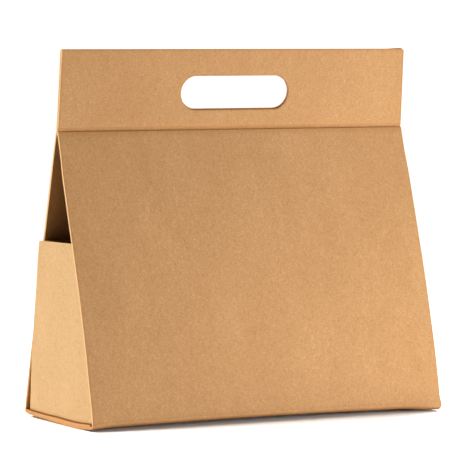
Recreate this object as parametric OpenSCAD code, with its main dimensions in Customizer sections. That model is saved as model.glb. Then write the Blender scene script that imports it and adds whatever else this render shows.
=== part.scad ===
// Tent-shaped gift box of kraft-covered board: two sloping cover panels meet
// in a two-leaf carrying handle over an open-ended tray.
// Millimetres. +X along the front, +Y to the back, +Z up, front faces -Y.
// Origin at the middle of the footprint, on the surface the box stands on.

/* [Cover] */
// Length of every cover board along X
cover_w = 290; // [200:1:340]
// Height of the hand-slot hinge crease above the table
fold_h = 213.3; // [190:0.1:240]
// How far the front panel's foot stands out from the fold
front_foot = 59.5; // [50:0.5:70]
// How far the back panel's foot stands out from the fold
back_foot = 58.5; // [50:0.5:70]
// Thickness of the two sloping cover boards, paper included
board_t = 2.0; // [1.6:0.1:2.2]
// Thickness of the base board, paper included
base_t = 3.8; // [2.4:0.1:4.0]
// Outer radius of the folds between the base and the panels
fold_r = 5.0; // [4.5:0.5:7]

/* [Bow of the panels] */
// Even outward bow of the front panel
front_bow = 1.4; // [0:0.1:2]
// Extra outward belly in the lower half of the front panel
front_belly = 3.9; // [0:0.1:5]
// Even outward bow of the back panel
back_bow = 1.6; // [0:0.1:2.5]

/* [Handle] */
// Height of a handle leaf above its hinge line
leaf_h = 58.4; // [50:0.1:66]
// Thickness of one handle leaf, paper included
leaf_t = 1.5; // [1.4:0.1:1.8]
// Forward lean of the two leaves, in degrees
leaf_lean = 4.3; // [0:0.1:6]
// Height of the pressed groove at each leaf hinge
groove_h = 2.8; // [2.6:0.1:3.4]
// Thickness of the paper left in a hinge
hinge_t = 0.6; // [0.4:0.1:0.6]
// Overall length of the hand slot
slot_w = 91; // [80:1:110]
// Height of the hand slot
slot_h = 25.5; // [22:0.5:30]
// Height of the slot's centre line above the hinge line
slot_up = 26.0; // [24:0.5:30]
// Radius of the leaves' top corners
corner_r = 2.0; // [1:0.5:4]

/* [Closing magnets] */
// Diameter of a closing magnet
magnet_d = 10; // [8:0.5:12]
// Thickness of a closing magnet
magnet_t = 0.8; // [0.5:0.1:0.8]
// Distance of each magnet from the middle of the handle
magnet_x = 105; // [80:1:120]

/* [Tray] */
// Height of the tray's rim above the table
tray_h = 133.2; // [110:0.1:140]
// Thickness of the tray's walls and floor
tray_t = 1.8; // [1.4:0.1:2.2]
// How far each side wall stands inside the ends of the base at its foot
tray_inset = 2.0; // [1:0.5:6]
// Outward lean of a side wall at the front of its rim
lean_front = 2.5; // [0:0.5:5]
// Outward lean of a side wall at the back of its rim
lean_back = 6.0; // [0:0.5:8]
// Gap between the tray's back wall and the back panel
back_gap = 1.1; // [0.8:0.1:2]

/* [Hidden] */
$fn = 64;

// --- cover section, worked in the Y-Z plane -------------------------------
crease_z = fold_h - 0.1;                 // top edge of the panel boards
hinge_z = crease_z + groove_h / 2;       // height of both leaf hinge lines
hinge_y = hinge_t / 2 + 0.1;             // hinge lines stand either side of 0
top_y = board_t;                         // outer top corner of each panel

function frac(z) = 1 - z / fold_h;
// outer faces of the two panels: distance from the fold at height z
function front_y(z) = let (s = frac(z))
    -(top_y + (front_foot - top_y) * s + front_bow * 4 * s * (1 - s)
      + front_belly * 6.75 * s * s * (1 - s));
function back_y(z) = let (s = frac(z))
    top_y + (back_foot - top_y) * s + back_bow * 4 * s * (1 - s);
// slopes of those faces
function front_k(z) = (front_y(z + 0.5) - front_y(z - 0.5));
function back_k(z) = (back_y(z + 0.5) - back_y(z - 0.5));
// inner faces, one board thickness in
function front_in(z) = front_y(z) + board_t * sqrt(1 + front_k(z) * front_k(z));
function back_in(z) = back_y(z) - board_t * sqrt(1 + back_k(z) * back_k(z));

// the folds at the foot of each panel: an arc that leaves the base level and
// runs into the panel's own slope
front_a = atan(front_k(fold_r));
back_a = -atan(back_k(fold_r));
front_tz = fold_r * (1 + sin(front_a));
back_tz = fold_r * (1 + sin(back_a));
front_c = front_y(front_tz) + fold_r * cos(front_a);
back_c = back_y(back_tz) - fold_r * cos(back_a);
// puts the middle of the footprint on the origin
y_mid = -(front_c + back_c) / 2;

function arc(c, r, a0, a1, n) =
    [for (i = [0 : n]) let (a = a0 + (a1 - a0) * i / n)
        [c + r * cos(a), fold_r + r * sin(a)]];
function steps(z0, z1, n) = [for (i = [0 : n]) z0 + (z1 - z0) * i / n];

in_r = fold_r - board_t;
front_in_tz = fold_r + in_r * sin(front_a);
back_in_tz = fold_r + in_r * sin(back_a);
board_top_in = crease_z - board_t * 0.33;
front_low = arc(front_c, in_r, 225, 180 - front_a, 6);
// where the front fold's inner face meets the top of the base board
front_corner = front_c - sqrt(in_r * in_r - (fold_r - base_t) * (fold_r - base_t));
front_up = steps(front_in_tz + 4, tray_h, 9);
front_top = steps(tray_h + 8, board_top_in, 8);

// half gap, in degrees of fold, between the base and the back panel
hinge_gap = 1.2;

// a board's section drawn out along the box
module along_x(len) {
    translate([-len / 2, y_mid, 0])
        rotate([90, 0, 90])
            linear_extrude(height = len)
                children();
}

// --- cover ----------------------------------------------------------------
// flat board under the tray, turned up at both long edges into the folds
module base_panel() {
    top_r = (fold_r - base_t) / sin(45);
    color("#c4935c")
        along_x(cover_w)
            polygon(concat(
                arc(front_c, fold_r, 225, 270, 6),
                arc(back_c, fold_r, 270, 315 - hinge_gap, 6),
                [[back_c + top_r * cos(45 + hinge_gap), base_t],
                 [front_c - top_r * cos(45), base_t]]));
}

// sloping front board with its foot fold and the thin paper of the hinge
module front_panel() {
    color("#c99a63")
        along_x(cover_w)
            polygon(concat(
                arc(front_c, fold_r, 225, 180 - front_a, 8),
                [for (z = steps(front_tz + 5, crease_z, 18)) [front_y(z), z]],
                [[-hinge_t - 0.1, crease_z - 0.4],
                 [-hinge_t - 0.1, hinge_z - 0.5],
                 [-0.1, hinge_z - 0.5],
                 [-0.1, board_top_in - 0.05]],
                [for (i = [len(front_top) - 2 : -1 : 0])
                    [front_in(front_top[i]), front_top[i]]],
                [for (i = [len(front_up) - 1 : -1 : 0])
                    [front_in(front_up[i]), front_up[i]]],
                [for (i = [len(front_low) - 1 : -1 : 0]) front_low[i]]));
}

// sloping back board: the flap that swings open about its foot
module back_panel() {
    color("#c0905b")
        along_x(cover_w)
            polygon(concat(
                arc(back_c, fold_r, 315 + hinge_gap, 360 + back_a, 8),
                [for (z = steps(back_tz + 5, crease_z, 18)) [back_y(z), z]],
                [[hinge_t + 0.1, crease_z - 0.4],
                 [hinge_t + 0.1, hinge_z - 0.5],
                 [0.1, hinge_z - 0.5],
                 [0.1, board_top_in - 0.05]],
                [for (z = steps(board_top_in - 5, back_in_tz + 4, 16))
                    [back_in(z), z]],
                arc(back_c, in_r, 360 + back_a, 315 + hinge_gap, 6)));
}

// --- handle ---------------------------------------------------------------
// stadium-shaped hand hole, round at both ends
module hand_slot(depth) {
    for (x = [-1, 1])
        translate([x * (slot_w - slot_h) / 2, 0, slot_up])
            rotate([90, 0, 0])
                cylinder(h = depth, d = slot_h, center = true);
    translate([0, 0, slot_up])
        cube([slot_w - slot_h, depth, slot_h], center = true);
}

// outline of a leaf: square at the hinge, small rounds at the top corners
module leaf_outline() {
    w = cover_w / 2;
    foot = groove_h / 2;
    union() {
        translate([-w, foot]) square([cover_w, leaf_h - corner_r - foot]);
        translate([-w + corner_r, foot])
            square([cover_w - 2 * corner_r, leaf_h - foot]);
        for (x = [-1, 1])
            translate([x * (w - corner_r), leaf_h - corner_r])
                circle(r = corner_r);
    }
}

// one leaf about its hinge line; its inner face looks towards +Y
module leaf() {
    difference() {
        union() {
            translate([0, hinge_t / 2, 0])
                rotate([90, 0, 0])
                    linear_extrude(height = leaf_t)
                        leaf_outline();
            translate([-cover_w / 2, -hinge_t / 2, 0.3])
                cube([cover_w, hinge_t, groove_h / 2]);
        }
        hand_slot(12);
        magnets(0.1, 0.1);
    }
}

// the pair of discs in one leaf, closed in under its paper
module magnets(grow_d, grow_t) {
    for (x = [-1, 1])
        translate([x * magnet_x, hinge_t / 2 - leaf_t / 2, slot_up])
            rotate([90, 0, 0])
                cylinder(h = magnet_t + grow_t, d = magnet_d + grow_d,
                         center = true);
}

// places a leaf's parts on the front hinge line, or mirrored on the back one
module on_front_hinge() {
    translate([0, y_mid - hinge_y, hinge_z])
        rotate([leaf_lean, 0, 0])
            children();
}
module on_back_hinge() {
    translate([0, y_mid + hinge_y, hinge_z])
        rotate([leaf_lean, 0, 0])
            mirror([0, 1, 0])
                children();
}

module front_handle_leaf() { color("#cfa068") on_front_hinge() leaf(); }
module back_handle_leaf() { color("#c79862") on_back_hinge() leaf(); }
module front_magnets() { color("#9a9ca0") on_front_hinge() magnets(0, 0); }
module back_magnets() { color("#8f9195") on_back_hinge() magnets(0, 0); }

// --- tray -----------------------------------------------------------------
// Outer face of a side wall: upright at its foot, leaning out towards the
// rim, and more at the back than at the front.
rim_front = front_in(tray_h);
rim_back = back_in(tray_h) - back_gap;
function side_x(y, z) =
    cover_w / 2 - tray_inset
    + (z - base_t) / (tray_h - base_t)
      * (lean_front + (lean_back - lean_front)
         * (y - rim_front) / (rim_back - rim_front));

side_y = steps(-70, 70, 4);
side_z = steps(base_t - 8, tray_h + 12, 4);
side_ny = len(side_y);
side_nz = len(side_z);

// solid between the two leaning side faces, drawn in by an inset
module between_sides(inset) {
    pts = [for (s = [-1, 1]) for (y = side_y) for (z = side_z)
        [s * (side_x(y, z) - inset), y, z]];
    n = side_ny * side_nz;
    a = function (i, j) i * side_nz + j;
    left = [for (i = [0 : side_ny - 2]) for (j = [0 : side_nz - 2])
        each [[a(i, j), a(i + 1, j), a(i + 1, j + 1)],
              [a(i, j), a(i + 1, j + 1), a(i, j + 1)]]];
    right = [for (t = left) [n + t[0], n + t[2], n + t[1]]];
    // caps, one quad for each step of the side faces
    low_f = [for (i = [0 : side_ny - 2])
        [n + a(i, 0), n + a(i + 1, 0), a(i + 1, 0), a(i, 0)]];
    top_f = [for (i = [0 : side_ny - 2]) let (j = side_nz - 1)
        [a(i, j), a(i + 1, j), n + a(i + 1, j), n + a(i, j)]];
    front_f = [for (j = [0 : side_nz - 2])
        [a(0, j), a(0, j + 1), n + a(0, j + 1), n + a(0, j)]];
    back_f = [for (j = [0 : side_nz - 2]) let (i = side_ny - 1)
        [n + a(i, j), n + a(i, j + 1), a(i, j + 1), a(i, j)]];
    polyhedron(points = pts,
               faces = concat(left, right, low_f, top_f, front_f, back_f),
               convexity = 4);
}

// section of the tray's outside: glued to the front panel all the way up
module tray_section() {
    polygon(concat(
        [[front_corner, base_t]],
        [for (p = front_low) if (p[1] > base_t + 0.2) p],
        [for (z = front_up) [front_in(z), z]],
        [for (z = steps(tray_h, base_t + 5, 6)) [back_in(z) - back_gap, z]],
        [[back_in(base_t + 5) - back_gap - 1.6, base_t]]));
}

// section of the hollow, open upwards
module tray_hollow() {
    k = tray_t * 1.06;
    polygon(concat(
        [[front_low[0][0] + k + 1.2, base_t + tray_t]],
        [for (z = front_up) if (z > base_t + tray_t + 2) [front_in(z) + k, z]],
        [[rim_front + k, tray_h + 6], [rim_back - k, tray_h + 6]],
        [for (z = steps(tray_h, base_t + 6, 6))
            [back_in(z) - back_gap - k, z]],
        [[back_in(base_t + 6) - back_gap - k - 1.6, base_t + tray_t]]));
}

// the folded tray: floor, front and back walls and two leaning side walls
module tray() {
    color("#dcae78")
        difference() {
            intersection() {
                along_x(cover_w + 60) tray_section();
                translate([0, y_mid, 0]) between_sides(0);
            }
            intersection() {
                along_x(cover_w + 60) tray_hollow();
                translate([0, y_mid, 0]) between_sides(tray_t);
            }
        }
}

base_panel();
front_panel();
back_panel();
front_handle_leaf();
back_handle_leaf();
tray();
front_magnets();
back_magnets();
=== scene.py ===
import math

import bmesh
import bpy
import numpy as np
from mathutils import Matrix, Vector, noise
from mathutils.geometry import delaunay_2d_cdt


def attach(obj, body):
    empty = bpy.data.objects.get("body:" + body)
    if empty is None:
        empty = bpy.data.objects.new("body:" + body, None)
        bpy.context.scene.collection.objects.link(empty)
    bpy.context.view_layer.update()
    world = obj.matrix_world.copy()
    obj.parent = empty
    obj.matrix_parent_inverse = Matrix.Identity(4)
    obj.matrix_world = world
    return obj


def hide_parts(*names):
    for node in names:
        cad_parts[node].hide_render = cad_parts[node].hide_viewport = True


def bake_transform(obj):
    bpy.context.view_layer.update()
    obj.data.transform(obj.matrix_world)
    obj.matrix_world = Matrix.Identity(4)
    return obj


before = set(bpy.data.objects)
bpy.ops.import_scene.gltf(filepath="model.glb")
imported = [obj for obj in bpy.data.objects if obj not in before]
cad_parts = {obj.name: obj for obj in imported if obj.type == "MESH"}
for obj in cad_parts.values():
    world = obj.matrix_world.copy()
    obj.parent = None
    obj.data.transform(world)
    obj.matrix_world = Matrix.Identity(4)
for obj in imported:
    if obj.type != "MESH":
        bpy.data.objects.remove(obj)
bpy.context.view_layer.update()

scene = bpy.context.scene
MM = 0.001

# --------------------------------------------------------------------------
# Section of the cover, in millimetres, as the frame has it
# --------------------------------------------------------------------------
W = 145.0            # half length of every cover board
FOLD_H = 213.3
CREASE_Z = 213.2
BOARD, BASE = 2.0, 3.8
FOLD_R = 5.0
HINGE_Z, HINGE_Y = 214.6, 0.4
LEAF_T, LEAF_H, LEAN = 1.5, 58.4, math.radians(4.3)
RIM_Z = 133.2
FRONT_R = 3.6        # the pressed front fold is a little tighter than the frame's


def front_y(z):
    s = 1 - z / FOLD_H
    return -(2 + 57.5 * s + 5.6 * s * (1 - s) + 26.325 * s * s * (1 - s))


def back_y(z):
    s = 1 - z / FOLD_H
    return 2 + 56.5 * s + 6.4 * s * (1 - s)


def front_k(z):
    return front_y(z + 0.5) - front_y(z - 0.5)


def back_k(z):
    return back_y(z + 0.5) - back_y(z - 0.5)


def front_in(z):
    return front_y(z) + BOARD * math.hypot(1, front_k(z))


def back_in(z):
    return back_y(z) - BOARD * math.hypot(1, back_k(z))


A_F = math.atan(front_k(FOLD_R))
A_B = -math.atan(back_k(FOLD_R))
TZ_F = FOLD_R * (1 + math.sin(A_F))
TZ_B = FOLD_R * (1 + math.sin(A_B))
C_F = front_y(TZ_F) + FOLD_R * math.cos(A_F)
C_B = back_y(TZ_B) - FOLD_R * math.cos(A_B)
Y_MID = -(C_F + C_B) / 2


def smooth(t):
    t = min(1.0, max(0.0, t))
    return t * t * (3 - 2 * t)


def lift(x, y, z):
    """How far the foot of the box stands off the table: arched along the front edge, turned up towards the back fold."""
    k = smooth((abs(x) - 85) / 60)
    g = (1 - k) * smooth((18 - y) / 64) + k * min(1.15, max(0.0, (-22 - y) / 32)) ** 2
    rise = 3.85 - 1.05 * (x / 112) ** 2 - 0.35 * smooth((-x - 128) / 17) - 1.25 * smooth((x - 112) / 24)
    up = 0.0235 * (math.hypot(y + 18, 9) + y + 18) / 2 * (0.5 + 0.5 * min(1.0, abs(x) / W) ** 2)
    return (rise * g + up) * (1 - smooth((z - 8) / 58))


def pinch(x, y, z):
    """The base board is pressed thinner towards the back fold, at its ends."""
    a = 0.22 * smooth((y + 2) / 30) * (1 - 2.6 * smooth((y - 44) / 10))
    b = 0.5 * smooth((y - 2) / 26) + 0.45 * smooth((-y - 42) / 10)
    t = min(1.0, max(0.0, z / BASE))
    v = a + (-b - a) * t if z < BASE else -b * (1 - smooth((z - BASE) / 22))
    return v * smooth((abs(x) - 95) / 45)


def swell(x, y, z, seed, size, depth):
    """Slow unevenness of a board's face."""
    return depth * noise.noise(Vector((x / size, z / size + seed, y / size * 0.7)))


# --------------------------------------------------------------------------
# Mesh helpers
# --------------------------------------------------------------------------
def mesh_object(name, verts, faces, mats, face_mats=None, sheet=None, edge=None, painted_shade_and_light=None):
    me = bpy.data.meshes.new(name)
    me.from_pydata([(v[0] * MM, v[1] * MM, v[2] * MM) for v in verts], [], faces)
    if sheet is not None:
        a = me.attributes.new("sheet", "FLOAT_VECTOR", "POINT")
        a.data.foreach_set("vector", np.array(sheet, np.float32).ravel())
    if edge is not None:
        a = me.attributes.new("edge", "FLOAT", "POINT")
        a.data.foreach_set("value", np.array(edge, np.float32))
    if painted_shade_and_light is not None:
        a = me.attributes.new("painted_shade_and_light", "FLOAT", "POINT")
        a.data.foreach_set("value", np.array(painted_shade_and_light, np.float32))
    for m in mats:
        me.materials.append(m)
    if face_mats is not None:
        me.polygons.foreach_set("material_index", np.array(face_mats, np.int32))
    bm = bmesh.new()
    bm.from_mesh(me)
    bmesh.ops.recalc_face_normals(bm, faces=bm.faces)
    bm.to_mesh(me)
    bm.free()
    me.polygons.foreach_set("use_smooth", np.ones(len(me.polygons), bool))
    me.update()
    ob = bpy.data.objects.new(name, me)
    scene.collection.objects.link(ob)
    return ob


def power(v, p):
    return math.copysign(abs(v) ** p, v)


def stations(half, r, step):
    """Places along the box, dense at the rounded ends: (x, inset) pairs."""
    n = 5
    out = []
    for i in range(n + 1):
        t = math.pi / 2 * (1 - i / n)
        out.append((half - r + r * math.sin(t), r * (1 - math.cos(t))))
    x = half - r
    for g in (0.35, 0.55, 0.8, 1.2, 1.8):
        x -= g
        out.append((x, 0.0))
    n = int(math.ceil(2 * x / step))
    inner = [(x - 2 * x * i / n, 0.0) for i in range(1, n)]
    return out + inner + [(-a, d) for a, d in reversed(out)]


class Strip:
    """A board bent along one section and drawn out along the box."""

    def __init__(self, outer, inner, start_round=0.0, end_round=0.0, k=7):
        self.o, self.i = np.array(outer, float), np.array(inner, float)
        self.r0, self.r1, self.k = start_round, end_round, k
        self.u = self.i - self.o
        self.u /= np.linalg.norm(self.u, axis=1)[:, None]
        ds = np.linalg.norm(np.diff(self.o, axis=0), axis=1)
        self.s = np.concatenate([[0], np.cumsum(ds)])

    def cap(self, at_start, d):
        o, i = (self.o[0], self.i[0]) if at_start else (self.o[-1], self.i[-1])
        r = self.r0 if at_start else self.r1
        if r <= 0:
            return []
        mid = (self.o + self.i) / 2
        t = (mid[0] - mid[1]) if at_start else (mid[-1] - mid[-2])
        t = t / np.linalg.norm(t)
        c, n = (o + i) / 2, (o - i) / np.linalg.norm(o - i)
        h = np.linalg.norm(o - i) / 2 - d
        pts = []
        for j in range(1, self.k):
            a = math.pi / 2 - math.pi * j / self.k      # outer side first
            pts.append(c + n * h * power(math.sin(a), 0.55)
                       + t * max(0.02, r - d) * power(math.cos(a), 0.55))
        return pts

    def loop(self, d):
        """Section with its faces drawn in by d: outer side, end cap, inner side back, start cap."""
        o = self.o + self.u * d
        i = self.i - self.u * d
        end = self.cap(False, d)
        start = self.cap(True, d)
        return list(o) + end + list(i[::-1]) + start[::-1]


def build_strip(name, strip, xs, place, mats, pale_to, seed=0.0, tone=None, end_tone=None):
    """Skin of a strip. tone(x, s, side) is the burnish and painted shade of a place on its faces, end_tone(s, t) that
    of its cut ends at depth t. The cut ends are painted pale down to pale_to, as painted light where the key light
    falls.
    """
    n, ks, ke = len(strip.o), (strip.k - 1 if strip.r0 > 0 else 0), (strip.k - 1 if strip.r1 > 0 else 0)
    m = 2 * n + ks + ke
    length = strip.s[-1]
    s_of = list(strip.s) + [length + 0.3] * ke + list(strip.s[::-1]) + [-0.3] * ks
    side = [0.0] * n + [0.5] * ke + [1.0] * n + [0.5] * ks
    half = max(x for x, _ in xs)
    verts, sheet, edge, painted_shade_and_light, faces = [], [], [], [], []
    for x, d in xs:
        for j, p in enumerate(strip.loop(d)):
            verts.append(place(x, p[0], p[1], side[j]))
            sheet.append((x, s_of[j] + 700 * side[j], seed))
            near = math.exp(-((half - abs(x) - 0.65) / 0.5) ** 2)      # pale fold, brown line beside it: burnish and painted shade, stronger at the left end
            edge.append(max((0.75 if x < 0 else 0.3) * near, tone(x, s_of[j], side[j]) if tone else 0.0))
            # painted light on the cut ends, paler down to pale_to; painted shade on the inner faces
            if half - abs(x) < 0.1:
                painted_shade_and_light.append(-0.8 * (1 - smooth((s_of[j] - pale_to) / 6)))
            else:
                painted_shade_and_light.append(1.0 if side[j] > 0.6 else 0.0)
    for a in range(len(xs) - 1):
        for j in range(m):
            b = (j + 1) % m
            faces.append((a * m + j, a * m + b, (a + 1) * m + b, (a + 1) * m + j))
    for a, flip in ((0, False), (len(xs) - 1, True)):
        base = a * m
        x, d = xs[a]
        lp = strip.loop(d)
        rows = [[base + j for j in range(n)]]
        for t in (0.1, 0.22, 0.36, 0.46, 0.54, 0.64, 0.78, 0.92):
            row = []
            for j in range(n):
                o, i = lp[j], lp[2 * n + ke - 1 - j]
                p = o + (i - o) * t
                bulge = 0.12 * math.sin(math.pi * t)
                row.append(len(verts))
                verts.append(place(x + math.copysign(bulge, x), p[0], p[1], t))
                sheet.append((x + 4 * t, s_of[j] + 1500, seed))
                edge.append(end_tone(s_of[j], t) if end_tone else 0.1)
                # painted light on the cut end, paler down to pale_to
                painted_shade_and_light.append(-0.8 * (1 - smooth((s_of[j] - pale_to) / 6)))
            rows.append(row)
        rows.append([base + 2 * n + ke - 1 - j for j in range(n)])
        for p, q in zip(rows, rows[1:]):
            for j in range(n - 1):
                f = (p[j], p[j + 1], q[j + 1], q[j])
                faces.append(f[::-1] if flip else f)
        if ke:
            q = tuple(base + n - 1 + j for j in range(ke + 2)) + tuple(r[-1] for r in rows[-2:0:-1])
            faces.append(q if flip else q[::-1])
        if ks:
            q = tuple([base] + [base + m - 1 - j for j in range(ks)] + [base + 2 * n + ke - 1]) \
                + tuple(r[0] for r in rows[-2:0:-1])
            faces.append(q if flip else q[::-1])
    return mesh_object(name, verts, faces, mats, None, sheet, edge, painted_shade_and_light)


def fill(outer, holes, step, clear, rows=()):
    """Triangles inside outer and outside the holes, on a regular lattice; returns points, triangles, and where each outline's points went."""
    loops = [np.array(outer)] + [np.array(h) for h in holes]
    pts = [p for l in loops for p in l]
    edges, at = [], 0
    for l in loops:
        edges += [(at + i, at + (i + 1) % len(l)) for i in range(len(l))]
        at += len(l)
    lo, hi = loops[0].min(0), loops[0].max(0)
    border = np.array(pts)
    nx, ny = max(1, int((hi[0] - lo[0]) / step)), max(1, int((hi[1] - lo[1]) / step))
    for i in range(1, nx):
        for j in range(1, ny):
            q = np.array([lo[0] + (hi[0] - lo[0]) * i / nx, lo[1] + (hi[1] - lo[1]) * j / ny])
            if not inside(q, loops[0]) or any(inside(q, h) for h in loops[1:]):
                continue
            if np.min(np.sum((border - q) ** 2, 1)) < clear * clear or (rows and q[1] < rows[-1] + 1.2):
                continue
            pts.append(q)
    for r in rows:                                   # close rows over a pressed channel
        for x in np.arange(lo[0] + 0.9, hi[0] - 0.8, 1.9):
            q = np.array([x, r])
            if inside(q, loops[0]) and np.min(np.sum((border - q) ** 2, 1)) > 0.04:
                pts.append(q)
    v, _, f, ov, _, _ = delaunay_2d_cdt([Vector(p) for p in pts], edges, [], 1, 1e-5)
    where = {}
    for k, src in enumerate(ov):
        for i in src:
            where[i] = k
    co = np.array([list(p) for p in v])
    tris = []
    for t in f:
        c = co[list(t)].mean(0)
        if inside(c, loops[0]) and not any(inside(c, h) for h in loops[1:]):
            tris.append(tuple(t))
    maps, at = [], 0
    for l in loops:
        maps.append([where[at + i] for i in range(len(l))])
        at += len(l)
    return co, tris, maps


def inside(q, poly):
    x, y = q[0], q[1]
    px, py = poly[:, 0], poly[:, 1]
    qx, qy = np.roll(px, -1), np.roll(py, -1)
    cross = ((py > y) != (qy > y)) & (x < (qx - px) * (y - py) / (qy - py + 1e-12) + px)
    return bool(np.count_nonzero(cross) % 2)


def build_plate(name, outline, hole, place, round_r, hole_r, mats, step=4.0, seed=0.0, tone=None, rows=()):
    """A board with a hand hole, with rounded outer edges and crisp cut hole edges. outline(d) and hole(d) give both flat as (x, s), with the board drawn in by d; place(x, s, f) puts a point at depth f, 0 on the outer face and 1 on the inner."""
    verts, sheet, edge, painted_shade_and_light, faces, fm = [], [], [], [], [], []

    def put(x, s, f, e, l=0.0):
        verts.append(place(x, s, f))
        # painted shade on the inner face; a negative l paints a lit end paler (painted light)
        painted_shade_and_light.append(l if l else (1.0 if f > 0.98 else 0.0))
        e = max(e, tone(x, s, f)) if tone else e
        sheet.append((x, s + 700 * (1 if f > 0.5 else 0), seed))
        edge.append(e)
        return len(verts) - 1

    rim = outline(round_r)
    hol = hole(hole_r)
    sup_o, sup_h = outline(round_r + 0.45), hole(hole_r + 0.4)
    wide_o, wide_h = outline(round_r + 1.6), hole(hole_r + 1.5)
    co, tris, (mo, mh) = fill(wide_o, [wide_h], step, step * 0.55, rows)
    rings = {}
    for f in (0.0, 1.0):
        ids = [put(p[0], p[1], f, 0.0) for p in co]
        for t in tris:
            faces.append(tuple(ids[i] for i in t))
            fm.append(0)
        a = [ids[i] for i in mo]
        # burnish and painted shade on the rounded edges and round the hole; the left end's rim is kept light
        b = [put(p[0], p[1], f, 0.6) for p in sup_o]
        c = [put(p[0], p[1], f, 0.9 if p[0] > 0.9 - W else 0.1) for p in rim]
        h0 = [ids[i] for i in mh]
        h1 = [put(p[0], p[1], f, 0.3) for p in sup_h]
        h2 = [put(p[0], p[1], f, 0.75) for p in hol]
        for p, q in ((a, b), (b, c), (h0, h1), (h1, h2)):
            for i in range(len(p)):
                j = (i + 1) % len(p)
                faces.append((p[i], p[j], q[j], q[i]))
                fm.append(0)
        rings[f] = (c, h2)
    k = 8
    last = rings[0.0][0]
    for j in range(1, k):
        a = math.pi * j / k
        d = round_r * (1 - power(math.sin(a), 0.6))
        f = 0.5 - 0.5 * power(math.cos(a), 0.75)
        # painted highlight: the left end's rounding is painted paler, as the key light falls on it; the rest gets
        # burnish and painted shade
        ring = [put(p[0], p[1], f, 0.9 - 0.55 * math.sin(a)) if p[0] > 0.9 - W else
                put(p[0], p[1], f, 0.0, -0.8) for p in outline(d)]
        for i in range(len(ring)):
            n = (i + 1) % len(ring)
            faces.append((last[i], last[n], ring[n], ring[i]))
            fm.append(0)
        last = ring
    c = rings[1.0][0]
    for i in range(len(c)):
        n = (i + 1) % len(c)
        faces.append((last[i], last[n], c[n], c[i]))
        fm.append(0)
    last = rings[0.0][1]
    for f, d in ((0.04, hole_r * 0.3), (0.1, 0.0), (0.5, 0.0), (0.9, 0.0), (0.96, hole_r * 0.3)):
        ring = [put(p[0], p[1], f, 0.0) for p in hole(d)]
        for i in range(len(ring)):
            n = (i + 1) % len(ring)
            faces.append((last[i], last[n], ring[n], ring[i]))
            fm.append(1)
        last = ring
    c = rings[1.0][1]
    for i in range(len(c)):
        n = (i + 1) % len(c)
        faces.append((last[i], last[n], c[n], c[i]))
        fm.append(1)
    return mesh_object(name, verts, faces, mats, fm, sheet, edge, painted_shade_and_light)


# --------------------------------------------------------------------------
# Materials
# --------------------------------------------------------------------------
class Nodes:
    def __init__(self, name):
        self.mat = bpy.data.materials.new(name)
        self.mat.use_nodes = True
        self.t = self.mat.node_tree
        self.t.nodes.clear()

    def add(self, kind, **props):
        n = self.t.nodes.new(kind)
        for k, v in props.items():
            setattr(n, k, v)
        return n

    def link(self, a, b):
        self.t.links.new(a, b)

    def math(self, op, a, b=None, clamp=False):
        n = self.add("ShaderNodeMath", operation=op, use_clamp=clamp)
        for i, v in enumerate((a, b)):
            if v is None:
                continue
            if isinstance(v, (int, float)):
                n.inputs[i].default_value = v
            else:
                self.link(v, n.inputs[i])
        return n.outputs[0]

    def noise(self, vec, scale, detail=2.0, rough=0.5, distort=0.0):
        n = self.add("ShaderNodeTexNoise")
        n.inputs["Scale"].default_value = scale
        n.inputs["Detail"].default_value = detail
        n.inputs["Roughness"].default_value = rough
        n.inputs["Distortion"].default_value = distort
        self.link(vec, n.inputs["Vector"])
        return n.outputs["Fac"]

    def stretch(self, vec, scale, angle=0.0):
        n = self.add("ShaderNodeMapping")
        n.inputs["Scale"].default_value = scale
        n.inputs["Rotation"].default_value = (0, 0, angle)
        self.link(vec, n.inputs["Vector"])
        return n.outputs["Vector"]

    def ramp(self, fac, lo, hi, a=0.0, b=1.0):
        n = self.add("ShaderNodeMapRange", interpolation_type="SMOOTHSTEP")
        n.inputs["From Min"].default_value = lo
        n.inputs["From Max"].default_value = hi
        n.inputs["To Min"].default_value = a
        n.inputs["To Max"].default_value = b
        self.link(fac, n.inputs["Value"])
        return n.outputs["Result"]

    def part(self, colour, i):
        n = self.add("ShaderNodeSeparateColor")
        self.link(colour, n.inputs[0])
        return n.outputs[i]

    def mix(self, fac, a, b, blend="MIX"):
        n = self.add("ShaderNodeMix", data_type="RGBA", blend_type=blend)
        if isinstance(fac, (int, float)):
            n.inputs["Factor"].default_value = fac
        else:
            self.link(fac, n.inputs["Factor"])
        for v, i in ((a, 6), (b, 7)):
            if isinstance(v, tuple):
                n.inputs[i].default_value = (*v, 1)
            else:
                self.link(v, n.inputs[i])
        return n.outputs[2]


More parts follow.
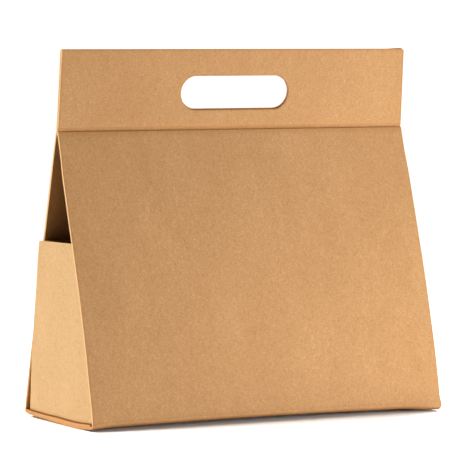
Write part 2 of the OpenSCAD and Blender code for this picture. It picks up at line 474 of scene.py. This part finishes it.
def kraft(name, base, dark, pale, edge_colour, edge_amount=0.55, mottle=1.0, roughness=0.82):
    """Uncoated kraft paper: cloudy pulp, crossing fibres, shives and pale flecks, with burnished edges and painted
    shade in folds, creases and recesses; inner faces darkened (painted shade) and end faces paled (painted light).
    """
    g = Nodes(name)
    attr = g.add("ShaderNodeAttribute", attribute_name="sheet")
    vec = attr.outputs["Vector"]
    edge = g.add("ShaderNodeAttribute", attribute_name="edge").outputs["Fac"]
    cloud = g.noise(g.stretch(vec, (1.0, 0.45, 1.0)), 0.04, 3, 0.55)  # 30 mm drifts
    pulp = g.noise(g.stretch(vec, (1.15, 0.62, 1.0)), 0.3, 4, 0.62)   # 3 mm clouds, drawn out upwards
    grain = g.noise(vec, 0.85, 3, 0.6)                       # 1 mm mottle
    fine = g.noise(vec, 2.6, 2, 0.6)
    f1 = g.noise(g.stretch(vec, (0.28, 2.4, 1.0), math.radians(14)), 1.0, 3, 0.6, 0.5)
    f2 = g.noise(g.stretch(vec, (2.1, 0.32, 1.0), math.radians(-22)), 1.0, 3, 0.6, 0.5)
    f3 = g.noise(g.stretch(vec, (0.5, 3.4, 1.0), math.radians(52)), 1.0, 2, 0.5, 0.8)
    # sum of the layers, about nought
    tone = g.math("MULTIPLY", g.math("SUBTRACT", cloud, 0.5), 0.30 * mottle)
    for fac, k in ((pulp, 0.34), (grain, 0.85), (fine, 0.65), (f1, 0.45), (f2, 0.55), (f3, 0.35)):
        tone = g.math("ADD", tone, g.math("MULTIPLY", g.math("SUBTRACT", fac, 0.5), k * mottle))
    up = g.ramp(tone, 0.0, 0.55)
    down = g.ramp(tone, 0.0, -0.55)
    col = g.mix(up, base, pale)
    col = g.mix(down, col, dark)
    # sparse shives: thin dark splinters, and a few pale flecks
    cell = g.add("ShaderNodeTexVoronoi", feature="F1", voronoi_dimensions="3D")
    cell.inputs["Scale"].default_value = 0.16
    g.link(g.stretch(vec, (0.45, 1.9, 1.0), math.radians(31)), cell.inputs["Vector"])
    shive = g.math("MULTIPLY", g.ramp(cell.outputs["Distance"], 0.085, 0.03),
                   g.ramp(g.part(cell.outputs["Color"], 0), 0.45, 0.7))
    col = g.mix(g.math("MULTIPLY", shive, 0.45), col, dark)
    cell2 = g.add("ShaderNodeTexVoronoi", feature="F1", voronoi_dimensions="3D")
    cell2.inputs["Scale"].default_value = 0.21
    g.link(g.stretch(vec, (1.6, 0.6, 1.0), math.radians(-40)), cell2.inputs["Vector"])
    fleck = g.ramp(cell2.outputs["Distance"], 0.09, 0.03)
    col = g.mix(g.math("MULTIPLY", fleck, 0.4), col, pale)
    # painted shade on inner faces and painted light on end faces, then burnished edges with painted shade in folds and
    # creases
    painted_shade_and_light = g.add("ShaderNodeAttribute", attribute_name="painted_shade_and_light").outputs["Fac"]
    col = g.mix(g.math("MULTIPLY", painted_shade_and_light, 1.0, clamp=True), col, (0.72, 0.60, 0.42), "MULTIPLY")   # painted shade: inner faces darker, as the inside of the box lies in shade
    col = g.mix(g.math("MULTIPLY", painted_shade_and_light, -1.0, clamp=True), col, (0.56, 0.37, 0.20))    # painted light: end faces paler, as the key light falls on them
    # one colour for burnished edges and for painted shade in folds, creases and recesses
    burnish_shade_mask = g.math("MULTIPLY", edge, g.ramp(g.noise(vec, 0.5, 3, 0.6), 0.25, 0.7, 0.6, 1.0))
    col = g.mix(g.math("MULTIPLY", burnish_shade_mask, edge_amount), col, edge_colour)
    bsdf = g.add("ShaderNodeBsdfPrincipled")
    g.link(col, bsdf.inputs["Base Color"])
    rough = g.math("ADD", g.math("MULTIPLY", g.math("SUBTRACT", grain, 0.5), 0.22), roughness, clamp=True)
    rough = g.math("SUBTRACT", rough, g.math("MULTIPLY", edge, 0.1))
    g.link(rough, bsdf.inputs["Roughness"])
    bsdf.inputs["Specular IOR Level"].default_value = 0.28
    height = g.math("ADD", g.math("MULTIPLY", f1, 0.5), g.math("MULTIPLY", f2, 0.45))
    height = g.math("ADD", height, g.math("MULTIPLY", grain, 0.8))
    height = g.math("ADD", height, g.math("MULTIPLY", fine, 0.45))
    height = g.math("ADD", height, g.math("MULTIPLY", pulp, 1.2))
    bump = g.add("ShaderNodeBump")
    bump.inputs["Strength"].default_value = 0.55
    bump.inputs["Distance"].default_value = 0.00012
    g.link(height, bump.inputs["Height"])
    g.link(bump.outputs["Normal"], bsdf.inputs["Normal"])
    out = g.add("ShaderNodeOutputMaterial")
    g.link(bsdf.outputs["BSDF"], out.inputs["Surface"])
    return g.mat


def cut_board(name, base, dark):
    """Die-cut edge of the board: layered grey-brown pulp."""
    g = Nodes(name)
    co = g.add("ShaderNodeTexCoord").outputs["Object"]
    layer = g.noise(g.stretch(co, (300, 4200, 300)), 1.0, 3, 0.65, 0.3)
    lumps = g.noise(g.stretch(co, (900, 900, 900)), 1.0, 3, 0.6)
    tone = g.math("ADD", g.math("MULTIPLY", layer, 0.6), g.math("MULTIPLY", lumps, 0.4))
    col = g.mix(g.ramp(tone, 0.38, 0.62), dark, base)
    bsdf = g.add("ShaderNodeBsdfPrincipled")
    g.link(col, bsdf.inputs["Base Color"])
    g.link(g.ramp(lumps, 0.2, 0.8, 0.82, 0.97), bsdf.inputs["Roughness"])
    bsdf.inputs["Specular IOR Level"].default_value = 0.15
    bump = g.add("ShaderNodeBump")
    bump.inputs["Strength"].default_value = 0.8
    bump.inputs["Distance"].default_value = 0.0002
    g.link(tone, bump.inputs["Height"])
    g.link(bump.outputs["Normal"], bsdf.inputs["Normal"])
    out = g.add("ShaderNodeOutputMaterial")
    g.link(bsdf.outputs["BSDF"], out.inputs["Surface"])
    return g.mat


def plated(name):
    """Nickel-plated disc magnet with fine tumbling marks."""
    g = Nodes(name)
    co = g.add("ShaderNodeTexCoord").outputs["Object"]
    scuff = g.noise(g.stretch(co, (2500, 2500, 400), 0.6), 1.0, 3, 0.6)
    spots = g.noise(co, 420, 3, 0.6)
    col = g.mix(g.ramp(spots, 0.35, 0.7), (0.55, 0.55, 0.53), (0.72, 0.71, 0.68))
    bsdf = g.add("ShaderNodeBsdfPrincipled")
    g.link(col, bsdf.inputs["Base Color"])
    bsdf.inputs["Metallic"].default_value = 1.0
    g.link(g.ramp(scuff, 0.3, 0.7, 0.24, 0.42), bsdf.inputs["Roughness"])
    bump = g.add("ShaderNodeBump")
    bump.inputs["Strength"].default_value = 0.3
    bump.inputs["Distance"].default_value = 0.00003
    g.link(scuff, bump.inputs["Height"])
    g.link(bump.outputs["Normal"], bsdf.inputs["Normal"])
    out = g.add("ShaderNodeOutputMaterial")
    g.link(bsdf.outputs["BSDF"], out.inputs["Surface"])
    return g.mat


# the fourth colour is the burnish colour, used as well for painted shade in folds and creases
COVER = kraft("kraft_cover_paper", (0.400, 0.211, 0.083), (0.285, 0.132, 0.043), (0.52, 0.305, 0.140),
              (0.345, 0.140, 0.026), edge_amount=0.85, mottle=1.35)
TRAY = kraft("kraft_tray_paper", (0.414, 0.266, 0.126), (0.310, 0.176, 0.071), (0.51, 0.345, 0.182),
             (0.33, 0.165, 0.055), edge_amount=0.55, mottle=1.4)
CORE = cut_board("cut_board_edge", (0.34, 0.20, 0.11), (0.22, 0.12, 0.06))
NICKEL = plated("nickel_disc")

# --------------------------------------------------------------------------
# Front panel, front fold and base: one run of covered board
# --------------------------------------------------------------------------
outer, inner = [], []


def add(o, i):
    outer.append(o)
    inner.append(i)


TOP_R = 0.55
C_FV = front_y(FRONT_R * 1.15) + FRONT_R * math.cos(A_F)      # centre line of the pressed fold
n = 46
z0 = CREASE_Z - TOP_R
z_fold = FRONT_R * (1 + math.sin(A_F))
for j in range(n + 1):
    t = j / n
    z = z0 + (z_fold + 4.0 - z0) * t
    k = front_k(z)
    nl = math.hypot(1, k)
    th = min(BOARD, (-0.1 - front_y(z)) * 0.985)       # the two boards meet at the top
    add((front_y(z), z), (front_y(z) + th * nl, z))
for dz in (3.0, 2.0, 1.1, 0.5):
    z = z_fold + dz
    add((front_y(z), z), (front_in(z), z + 0.6))
n = 16
for j in range(n + 1):
    a = math.pi - A_F + (math.pi * 1.5 - (math.pi - A_F)) * j / n
    th = BOARD - 0.5 * smooth(j / 6) * (1 - smooth((j - 8) / 6)) + (BASE - BOARD) * smooth((j - 7) / 9)
    o = (C_FV + FRONT_R * math.cos(a), FRONT_R + FRONT_R * math.sin(a))
    add(o, (o[0] - th * math.cos(a) + 0.9 * smooth(j / 10) * (1 - smooth((j - 12) / 4)),
            o[1] - th * math.sin(a)))
n = 34
BACK_SEAM = C_B - 9.0
for j in range(1, n + 1):
    y = C_FV + (BACK_SEAM - C_FV) * j / n
    add((y, 0.12 * smooth((y - 37) / 6)), (y, BASE))
front_strip = Strip(outer, inner, start_round=TOP_R)
S_FOLD = front_strip.s[51]                 # where the pressed fold begins


def place_front(x, y, z, side):
    d = swell(x, y, z, 3.1, 46, 0.16) + swell(x, y, z, 9.4, 17, 0.035)
    d *= smooth((z - 6) / 25) * smooth((CREASE_Z - z) / 14)
    yy = y + Y_MID
    fore = smooth((-y - 20) / 25)                         # not the middle of the base
    # the right-hand foot stands out, and has a knuckle of turned-in paper
    d -= fore * smooth((x - 108) / 30) * (0.5 * math.exp(-((z - 44) / 26) ** 2) + 0.55 * math.exp(-((z - 16) / 14) ** 2)
                                          + 1.3 * math.exp(-((z - 4.5) / 4.5) ** 2))
    knob = 0.55 * math.exp(-((z - 5.0) / 2.6) ** 2) * fore * smooth((x - 141.5) / 3.5)
    # score line just above the fold, pressed in
    score = 0.16 * math.exp(-((z - 4.6) / 0.45) ** 2) * fore if side < 0.5 else 0.0
    wide = 0.62 * smooth((202 - z) / 26) * smooth((z - 9) / 26 if x < 0 else 1.0) * smooth((-y - 2) / 8)
    x += math.copysign(wide * smooth((abs(x) - 120) / 25), x) + knob
    return (x, yy + d + score, z + lift(x, yy, z) + pinch(x, yy, z))


# painted shade: the front fold's underside, a line where the fold begins and the crease at the panel's top are darkened
def tone_front(x, s, side):
    if side > 0.6:
        return 0.0
    fold = smooth((s - S_FOLD - 1.7) / 1.2) * (1 - smooth((s - S_FOLD - 9.0) / 3.0))
    line = 0.6 * math.exp(-((s - S_FOLD + 0.1) / 0.4) ** 2)
    return max(0.85 * fold, line, 0.5 * math.exp(-(s / 0.9) ** 2))


def base_end(t):
    """Cut end of the base: painted shade on the turned paper along its lower edge, a seam along the middle."""
    return max(0.7 * (1 - smooth((t - 0.1) / 0.2)), 0.5 * math.exp(-((t - 0.46) / 0.09) ** 2))


def end_front(s, t):
    return max(0.06, smooth((s - S_FOLD - 4) / 3) * base_end(t))


cover_front = build_strip("cover_front_base", front_strip, stations(W, 0.3, 3.4), place_front,
                          [COVER], S_FOLD, seed=11.0, tone=tone_front, end_tone=end_front)
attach(cover_front, "box")
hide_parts("base_panel", "front_panel")

# --------------------------------------------------------------------------
# Back panel and back fold, where the box's flap opens; built as one fixed piece
# --------------------------------------------------------------------------
outer, inner = [], []
n = 46
for j in range(n + 1):
    z = z0 + (6.5 - z0) * j / n
    nl = math.hypot(1, back_k(z))
    th = min(BOARD, (back_y(z) - 0.1) * 0.985)
    add((back_y(z), z), (back_y(z) - th * nl, z))
# a sharp heel, then the base rising to it in a long shallow curve
heel = [(back_y(5.2), 5.2, back_in(5.8), 5.9), (back_y(4.0), 4.0, back_in(5.4), 5.3),
        (back_y(3.3), 3.3, back_in(5.0), 4.9), (back_y(2.95) - 0.03, 2.95, back_in(4.8), 4.6),
        (57.72, 2.62, 55.6, 4.45), (57.45, 2.32, 55.3, 4.35), (57.0, 2.06, 55.0, 4.27),
        (56.2, 1.78, 54.5, 4.2), (55.2, 1.5, 53.8, 4.12), (53.8, 1.25, 52.8, 4.04),
        (52.2, 1.03, 51.5, 3.96), (50.4, 0.8, 50.0, 3.9), (48.4, 0.58, 48.2, 3.85),
        (46.4, 0.4, 46.3, 3.82), (44.8, 0.27, 44.8, 3.8)]
for y, z, yi, zi in heel:
    add((y, z), (yi, zi))
add((BACK_SEAM, 0.12), (BACK_SEAM, BASE))
back_strip = Strip(outer, inner, start_round=TOP_R)
HEEL = len(heel) + 1


def place_back(x, y, z, side):
    d = swell(x, y, z, 21.7, 50, 0.16) + swell(x, y, z, 33.4, 19, 0.035)
    d *= smooth((z - 6) / 25) * smooth((CREASE_Z - z) / 14)
    yy = y + Y_MID
    # turned-in paper thickens the board along its ends
    d -= 0.7 * side * smooth((abs(x) - 129) / 12) * smooth((z - 7) / 10) * smooth((206 - z) / 40)
    return (x, yy + d, z + lift(x, yy, z) + pinch(x, yy, z))


S_HEEL = back_strip.s[-HEEL + 3]


# painted shade at the heel of the back fold and along the crease at the panel's top
def tone_back(x, s, side):
    if side > 0.6:
        return 0.0
    return max(0.7 * math.exp(-((s - S_HEEL) / 2.2) ** 2), 0.5 * math.exp(-(s / 0.9) ** 2))


def end_back(s, t):
    # painted shade down the lower end of the back panel, beside the tray's flared wall
    low = smooth((s - 70) / 60) * (1 - smooth((s - S_HEEL + 3) / 3))
    heel = smooth((s - S_HEEL + 1) / 3)
    return max(0.06, 0.62 * low, heel * base_end(t))


cover_back = build_strip("cover_back", back_strip, stations(W, 0.3, 3.4), place_back,
                         [COVER], 76.0, seed=27.0, tone=tone_back, end_tone=end_back)
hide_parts("back_panel")
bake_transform(cover_back)

# --------------------------------------------------------------------------
# Handle leaves, each with the pressed groove below it
# --------------------------------------------------------------------------
def lean(y, z, back):
    """A point given about a leaf's hinge line, y towards its inner face, in section coordinates."""
    y = -y if back else y
    c, s = math.cos(LEAN), math.sin(LEAN)
    return (y * c - z * s + (HINGE_Y if back else -HINGE_Y), y * s + z * c + HINGE_Z)


def leaf_path(back):
    """Outer and inner lines of groove and leaf, mid-length and at the ends, with their arc length."""
    m = -1 if back else 1
    # pressed channel: crisp shoulder, flat floor, deep crease on the panel's top edge
    zs = [210.6, 211.4, 212.2, 212.8, 213.05, 213.25, 213.45, 213.6, 213.75, 213.95, 214.25, 214.6,
          215.0, 215.35, 215.62, 215.85, 216.05, 216.3]
    deep = [-0.95, -0.95, -0.93, -0.80, -0.66, -0.52, -0.44, -0.46, -0.55, -0.60, -0.74, -0.86,
            -0.95, -1.04, -1.18, -1.42, -1.61, -1.67]
    shut = [-1.05, -1.05, -1.03, -1.00, -0.96, -0.92, -0.94, -0.98, -1.06, -1.16, -1.26, -1.38,
            -1.48, -1.56, -1.61, -1.65, -1.69, -1.71]
    web = [-0.10] * 17 + [-0.16]
    if back:                       # its face stands nearer its hinge line
        deep = [0.95, 0.95, 0.93, 0.80, 0.60, 0.36, 0.26, 0.30, 0.44, 0.58, 0.70, 0.80,
                0.88, 0.96, 1.06, 1.20, 1.35, 1.41]
        shut = [1.05, 1.05, 1.03, 1.00, 0.96, 0.92, 0.94, 1.00, 1.06, 1.14, 1.23, 1.31,
                1.37, 1.41, 1.43, 1.45, 1.46, 1.46]
        web = [0.10] * 17 + [0.05]
    groove, closed, web = list(zip(deep, zs)), list(zip(shut, zs)), list(zip(web, zs))
    z_leaf = np.concatenate([np.linspace(2.2, 6, 5), np.linspace(8, LEAF_H, 26)])
    face = [lean(0.3 - LEAF_T, z, back) for z in z_leaf]
    inn = [lean(0.3, z, back) for z in z_leaf]
    a, b, c = np.array(groove + face), np.array(closed + face), np.array(web + inn)
    s = np.concatenate([[0], np.cumsum(np.linalg.norm(np.diff(a, axis=0), axis=1))])
    return a, b, c, s


def stadium(d, half, r, cy, n):
    """Outline of the hand hole, wider by d all round."""
    half, r = half + d, r + d
    pts = [(half - r + r * math.cos(t), cy + r * math.sin(t))
           for t in np.linspace(-math.pi / 2, math.pi / 2, n)]
    pts += [(x, cy + r) for x in np.linspace(half - r, -half + r, 22)[1:-1]]
    pts += [(-half + r + r * math.cos(t), cy + r * math.sin(t))
            for t in np.linspace(math.pi / 2, math.pi * 1.5, n)]
    pts += [(x, cy - r) for x in np.linspace(-half + r, half - r, 22)[1:-1]]
    return np.array(pts)


def leaf_outline(d, top, r_left, r_right, rise):
    """Flat outline of a leaf and its groove, drawn in by d, counter-clockwise, square at the foot; rise(x) is how much the top edge stands up."""
    w = W - d
    r_left, r_right = max(r_left - d, 0.04), max(r_right - d, 0.04)

    def h(x):
        return top - d + rise(x)
    pts = [(x, d) for x in np.linspace(-w, w, 75)[:-1]]
    pts += [(w, s) for s in np.concatenate([np.linspace(d, 7, 18)[:-1],
                                            np.linspace(7, h(w) - r_right, 18)[:-1]])]
    pts += [(w - r_right + r_right * math.cos(t), h(w) - r_right + r_right * math.sin(t))
            for t in np.linspace(0, math.pi / 2, 9)]
    pts += [(x, h(x)) for x in np.linspace(w - r_right, -w + r_left, 74)[1:-1]]
    pts += [(-w + r_left + r_left * math.cos(t), h(-w) - r_left + r_left * math.sin(t))
            for t in np.linspace(math.pi / 2, math.pi, 7)]
    pts += [(-w, s) for s in np.concatenate([np.linspace(h(-w) - r_left, 7, 18)[1:],
                                             np.linspace(7, d, 18)[1:-1]])]
    return np.array(pts)


def build_leaf(name, back, r_left, r_right, rise, slot_half, slot_rise, taper, seed):
    a, b, c, s = leaf_path(back)
    s_leaf = s[-1]
    # where the hinge line's height falls on the leaf's own length
    s_hinge = s_leaf - LEAF_H

    def place(x, sv, f):
        w = max(smooth((abs(x) - (W - 7.5)) / 6.5), 0.35 * smooth((x - 60) / 70))
        if sv > s_leaf:                                  # a leaf cut a hair longer
            d = sv - s_leaf
            o, i = a[-1] + (a[-1] - a[-2]) / np.linalg.norm(a[-1] - a[-2]) * d, None
            i = c[-1] + (c[-1] - c[-2]) / np.linalg.norm(c[-1] - c[-2]) * d
        else:
            oa = np.array([np.interp(sv, s, a[:, 0]), np.interp(sv, s, a[:, 1])])
            ob = np.array([np.interp(sv, s, b[:, 0]), np.interp(sv, s, b[:, 1])])
            o = oa * (1 - w) + ob * w
            i = np.array([np.interp(sv, s, c[:, 0]), np.interp(sv, s, c[:, 1])])
        p = o + (i - o) * f
        d = swell(x, 0, p[1], seed, 40, 0.07) * smooth((p[1] - 217) / 16)
        # cut a little out of square at the left end
        up = min(1.0, max(0.0, (sv - s_hinge) / LEAF_H))
        x += taper * up ** 0.8 * smooth((-x - 60) / 85)
        x -= math.copysign(0.4, x) * (1 - smooth((p[1] - 212.7) / 0.7)) * smooth((abs(x) - 140) / 4)
        return (x, p[0] + d + Y_MID, p[1])

    # painted shade over the pressed channel, and a painted shadow line under the leaf's lower edge
    def tone(x, sv, f):
        if f > 0.5 or sv > s[17] + 1:
            return 0.0
        band = smooth((sv - s[7]) / 0.4) * (1 - smooth((sv - s[15]) / (s[16] - s[15])))
        return max(0.62 * band, math.exp(-((sv - s[15]) / 0.2) ** 2))

    return build_plate(name, lambda d: leaf_outline(d, s_leaf, r_left, r_right, rise),
                       lambda d: stadium(d, slot_half, 12.65, s_hinge + 25.9 + slot_rise, 37), place,
                       0.42, 0.14, [COVER, CORE], step=4.2, seed=seed, tone=tone,
                       rows=list(s[3:18]) + [s[17] + 0.5, s[17] + 1.4])


handle_front = build_leaf("handle_front", False, 0.8, 2.1, lambda x: 0.22 * (1 - x / W) / 2,
                          45.45, 0.0, 1.5, 41.0)
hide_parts("front_handle_leaf")
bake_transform(handle_front)

handle_back = build_leaf("handle_back", True, 1.0, 1.6,
                         lambda x: 0.2 * (1 - x / W) / 2 + 0.5 * smooth((x - 131) / 9),
                         45.3, 1.05, 1.35, 57.0)
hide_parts("back_handle_leaf")
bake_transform(handle_back)

# --------------------------------------------------------------------------
# Tray: folded up from one sheet, walls leaning out towards the rim
# --------------------------------------------------------------------------
TT = 1.8
rim_f, rim_b = front_in(RIM_Z), back_in(RIM_Z) - 1.1
IN_R = FOLD_R - BOARD


def side_x(y, z):
    flare = 0.8 * smooth((z - 92) / 40) * smooth((y - 4) / 18)
    return W - 2.0 + (z - BASE) / (RIM_Z - BASE) * (2.5 + 3.5 * (y - rim_f) / (rim_b - rim_f)) + flare


def tray_front(z):
    zt = FOLD_R + IN_R * math.sin(A_F)
    if z >= zt + 1:
        return front_in(z)
    return C_F - math.sqrt(max(0.0, IN_R ** 2 - (FOLD_R - z) ** 2))


def tray_back(z):
    return back_in(max(z, 6.0)) - 1.1 - 0.9 * smooth((62 - z) / 60)


def tray_loop(z, d, r):
    """Plan of the tray at height z, drawn in by d, with corners rounded by r; counter-clockwise."""
    yf, yb = tray_front(z) + d, tray_back(z) - d
    xf, xb = side_x(yf, z) - d, side_x(yb, z) - d
    r = max(r, 0.15)
    pts = []
    nx, ny, nc = 44, 20, 5
    corners = [(-xf, yf, math.pi), (xf, yf, math.pi * 1.5), (xb, yb, 0.0), (-xb, yb, math.pi / 2)]
    centre = [(-xf + r, yf + r), (xf - r, yf + r), (xb - r, yb - r), (-xb + r, yb - r)]
    for q in range(4):
        cx, cy = centre[q]
        a = corners[q][2]
        arcp = [(cx + r * math.cos(a + math.pi / 2 * j / nc), cy + r * math.sin(a + math.pi / 2 * j / nc))
                for j in range(nc + 1)]
        pts += arcp
        c2x, c2y = centre[(q + 1) % 4]
        a2 = corners[(q + 1) % 4][2]
        p2 = (c2x + r * math.cos(a2), c2y + r * math.sin(a2))
        m = nx if q % 2 == 0 else ny
        # support points just beside the folds
        ts = [0.004, 0.012] + [0.012 + (0.976) * j / m for j in range(1, m)] + [0.988, 0.996]
        if q % 2:
            ts = [0.01, 0.03] + [0.03 + 0.94 * j / m for j in range(1, m)] + [0.97, 0.99]
        pts += [(arcp[-1][0] + (p2[0] - arcp[-1][0]) * t, arcp[-1][1] + (p2[1] - arcp[-1][1]) * t) for t in ts]
    return pts


def build_tray():
    R_OUT, R_IN = 1.15, 0.7
    foot_r = 1.15
    levels = []                                   # (z, inset, corner radius, burnish and painted shade, inside?)
    # painted shade round the foot, where the tray meets the base
    for j in range(5):
        a = math.pi / 2 * j / 4
        levels.append((BASE + foot_r * (1 - math.cos(a)), 1.35 * foot_r * (1 - math.sin(a)), R_OUT, 0.85, 0))
    levels += [(BASE + foot_r + 0.5, 0, R_OUT, 0.3, 0), (BASE + foot_r + 1.4, 0, R_OUT, 0.0, 0)]
    levels += [(z, 0, R_OUT, 0.0, 0) for z in np.linspace(8, RIM_Z - 4, 34)]
    h = TT / 2
    levels += [(RIM_Z - 2.6, 0, R_OUT, 0.0, 0), (RIM_Z - 1.6, 0, R_OUT, 0.0, 0)]
    for j in range(9):
        a = math.pi * j / 8
        levels.append((RIM_Z - h * 0.8 + h * 0.8 * power(math.sin(a), 0.8), h - h * power(math.cos(a), 0.8),
                       R_OUT * (1 - j / 8) + R_IN * j / 8, 0.0, 0 if j < 5 else 1))
    levels += [(RIM_Z - 2.2, TT, R_IN, 0.0, 1)]
    levels += [(z, TT, R_IN, 0.0, 1) for z in np.linspace(RIM_Z - 5, 11, 24)]
    floor = BASE + TT
    levels += [(floor + 1.3, TT, R_IN, 0.0, 1)]
    for j in range(1, 5):
        a = math.pi / 2 * j / 4
        levels.append((floor + 0.8 * (1 - math.sin(a)), TT + 0.8 * (1 - math.cos(a)), R_IN, 0.0, 1))
    verts, sheet, edge, painted_shade_and_light, faces = [], [], [], [], []
    m = len(tray_loop(50, 0, 1))

    def put(x, y, z, e, inner_side):
        yy = y + Y_MID
        dx = swell(x, y, z, 71.0, 38, 0.12) * smooth((z - 5) / 20) * smooth((RIM_Z + 1 - z) / 14)
        bow = 0.35 * math.sin(math.pi * min(1, max(0, (z - 3) / 130))) * (1 if abs(x) > 120 else 0)
        dip = 0.34 * smooth((y - 2) / 30) * smooth((z - 100) / 33)       # the rim sags a hair at the back
        verts.append((x + (dx + bow) * (1 if x > 0 else -1), yy, z + lift(x, yy, z) + pinch(x, yy, z) - dip))
        # painted shade: the tray's inner faces are darkened, as they lie in shade
        painted_shade_and_light.append(0.6 * inner_side)
        if abs(x) > abs(side_x(y, z)) - 3:
            sheet.append((y + (300 if x > 0 else -300), z + 900 * inner_side, 83.0))
        elif z < 6:
            sheet.append((x, y + 2000 + 900 * inner_side, 83.0))
        else:
            sheet.append((x, z + (1500 if y > 0 else 1200) + 900 * inner_side, 83.0))
        edge.append(e)

    for z, d, r, e, ins in levels:
        lp = tray_loop(z, d, r)
        for p in lp:
            # darker down the folded corners
            fold = max(0.0, 1 - min(abs(abs(p[0]) - side_x(p[1], z)), 9)
                       / 1.2) * max(0.0, 1 - min(abs(p[1] - tray_front(z)), abs(p[1] - tray_back(z))) / 1.4)
            put(p[0], p[1], z, max(e, fold), ins)
    for a in range(len(levels) - 1):
        for j in range(m):
            b = (j + 1) % m
            faces.append((a * m + j, a * m + b, (a + 1) * m + b, (a + 1) * m + j))
    for a, z in ((0, BASE), (len(levels) - 1, floor)):
        lv = levels[a]
        co, tris, (mo,) = fill(tray_loop(lv[0], lv[1], lv[2]), [], 6.0, 3.0)
        ids = {mo[i]: a * m + i for i in range(m)}
        for k, p in enumerate(co):
            if k not in ids:
                ids[k] = len(verts)
                put(p[0], p[1], z, 0.0, 1 if a else 0)
        faces.extend(tuple(ids[i] for i in t) for t in tris)
    return mesh_object("tray_folded", verts, faces, [TRAY], None, sheet, edge, painted_shade_and_light)


tray = build_tray()
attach(tray, "box")
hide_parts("tray")

# --------------------------------------------------------------------------
# Magnets stay as the frame has them
# --------------------------------------------------------------------------
for name in ("front_magnets", "back_magnets"):
    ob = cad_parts[name]
    ob.data.materials.clear()
    ob.data.materials.append(NICKEL)
    for p in ob.data.polygons:
        p.use_smooth = False

# --------------------------------------------------------------------------
# Floor, light and camera
# --------------------------------------------------------------------------
me = bpy.data.meshes.new("floor")
S = 30.0
me.from_pydata([(-S, -S, 0), (S, -S, 0), (S, S, 0), (-S, S, 0)], [], [(0, 1, 2, 3)])
floor = bpy.data.objects.new("floor", me)
scene.collection.objects.link(floor)
g = Nodes("white_sweep")
b = g.add("ShaderNodeBsdfPrincipled")
co = g.add("ShaderNodeTexCoord").outputs["Object"]
g.link(g.mix(g.noise(co, 6.0, 2), (0.90, 0.90, 0.90), (0.915, 0.915, 0.915)), b.inputs["Base Color"])
b.inputs["Roughness"].default_value = 0.9
b.inputs["Specular IOR Level"].default_value = 0.1
o = g.add("ShaderNodeOutputMaterial")
g.link(b.outputs["BSDF"], o.inputs["Surface"])
me.materials.append(g.mat)

world = bpy.data.worlds.new("studio")
scene.world = world
world.use_nodes = True
t = world.node_tree
t.nodes.clear()
seen = t.nodes.new("ShaderNodeBackground")
seen.inputs["Color"].default_value = (1, 1, 1, 1)
seen.inputs["Strength"].default_value = 1.15
fill_light = t.nodes.new("ShaderNodeBackground")
fill_light.inputs["Color"].default_value = (1, 1, 1, 1)
fill_light.inputs["Strength"].default_value = 0.09
path = t.nodes.new("ShaderNodeLightPath")
mixer = t.nodes.new("ShaderNodeMixShader")
out = t.nodes.new("ShaderNodeOutputWorld")
t.links.new(path.outputs["Is Camera Ray"], mixer.inputs["Fac"])
t.links.new(fill_light.outputs[0], mixer.inputs[1])
t.links.new(seen.outputs[0], mixer.inputs[2])
t.links.new(mixer.outputs[0], out.inputs["Surface"])


def aim(ob, at, look):
    ob.location = at
    ob.rotation_mode = "QUATERNION"
    ob.rotation_quaternion = (Vector(look) - Vector(at)).to_track_quat("-Z", "Y")
    ob.visible_camera = False
    scene.collection.objects.link(ob)
    return ob


def area(name, at, look, size, watts, colour=(1, 1, 1), spread=180):
    l = bpy.data.lights.new(name, "AREA")
    l.color = colour
    l.shape = "RECTANGLE"
    l.size, l.size_y = size
    l.energy = watts
    l.spread = math.radians(spread)
    return aim(bpy.data.objects.new(name, l), at, look)


def broad(name, azimuth, elevation, strength, spread, colour=(1, 1, 1)):
    """Wide, even light from one side of the studio; azimuth from +X towards +Y."""
    l = bpy.data.lights.new(name, "SUN")
    l.color = colour
    l.energy = strength
    l.angle = math.radians(spread)
    az, el = math.radians(azimuth), math.radians(elevation)
    d = Vector((math.cos(az) * math.cos(el), math.sin(az) * math.cos(el), math.sin(el)))
    return aim(bpy.data.objects.new(name, l), d * 3, (0, 0, 0))


broad("key_left", 163, 40, 5.6, 16, (1.0, 0.945, 0.885))
area("fill_right", (0.62, -0.62, 0.12), (0.05, 0, 0.02), (0.40, 0.20), 2.8, (0.965, 1.0, 1.04), 110)
area("fill_low", (0.05, -0.42, 0.03), (0.0, -0.05, 0.02), (0.50, 0.04), 0.22)
area("floor_right", (0.80, 0.38, 0.50), (0.25, 0, 0), (0.35, 0.35), 14.0)
broad("front_soft", -60, 66, 0.40, 60, (1.0, 0.90, 0.79))

YAW, PITCH = math.radians(28.15397), math.radians(3.43642)
right = Vector((math.cos(YAW), -math.sin(YAW), 0))
fwd = Vector((math.sin(YAW) * math.cos(PITCH), math.cos(YAW) * math.cos(PITCH), -math.sin(PITCH)))
up = right.cross(fwd)
cam_data = bpy.data.cameras.new("camera")
cam_data.sensor_width = 36.0
cam_data.lens = 255.88
cam_data.clip_start, cam_data.clip_end = 0.05, 200
cam = bpy.data.objects.new("camera", cam_data)
rot = Matrix((right, up, -fwd)).transposed()
cam.matrix_world = Matrix.Translation((-1.1530088, -2.1487691, 0.2842428)) @ rot.to_4x4()
scene.collection.objects.link(cam)
scene.camera = cam
scene.view_settings.view_transform = "Standard"
scene.view_settings.look = "None"
